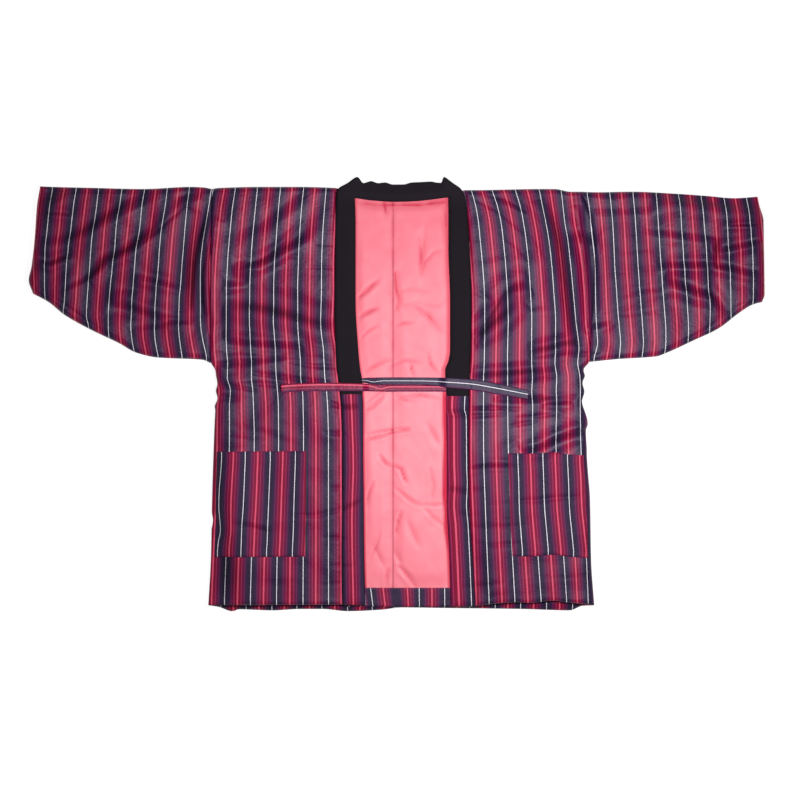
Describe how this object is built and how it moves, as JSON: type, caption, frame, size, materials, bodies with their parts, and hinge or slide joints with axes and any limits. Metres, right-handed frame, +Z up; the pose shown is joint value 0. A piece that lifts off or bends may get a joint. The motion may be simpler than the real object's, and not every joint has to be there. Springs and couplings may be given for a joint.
{
  "type": "hanten",
  "caption": "Wadded hanten jacket laid flat with its front open: striped panels, flattened sleeves, a dark collar band, a pink lining, patch pockets and two ties.",
  "frame": {"origin": "on the surface the garment lies on, under the middle of its plan box", "axes": "+X to the wearer's left (right in the picture), +Y from the hem to the neck, +Z up out of the open front"},
  "size_m": [1.3614, 0.8042, 0.0278],
  "materials": {
    "striped_cotton": "yarn-dyed stripe in navy, crimson and pink with a fine white line, slightly lustrous",
    "collar_cotton": "matt near-black cotton",
    "lining_satin": "smooth salmon-pink lining",
    "tie_red": "strip of the striped cloth, red part outward",
    "tie_grey": "strip of the striped cloth, navy part outward"
  },
  "bodies": {
    "root": {"back_right": "striped_cotton", "back_left": "striped_cotton", "front_right": "striped_cotton", "front_left": "striped_cotton", "sleeve_right": "striped_cotton", "sleeve_left": "striped_cotton", "band_right": "striped_cotton", "band_left": "striped_cotton", "pocket_right": "striped_cotton", "pocket_left": "striped_cotton", "hem_turn_up": "striped_cotton", "lining_right": "lining_satin", "lining_left": "lining_satin", "collar": "collar_cotton", "tie_right": "tie_grey", "tie_left": "tie_red"}
  },
  "joints": []
}
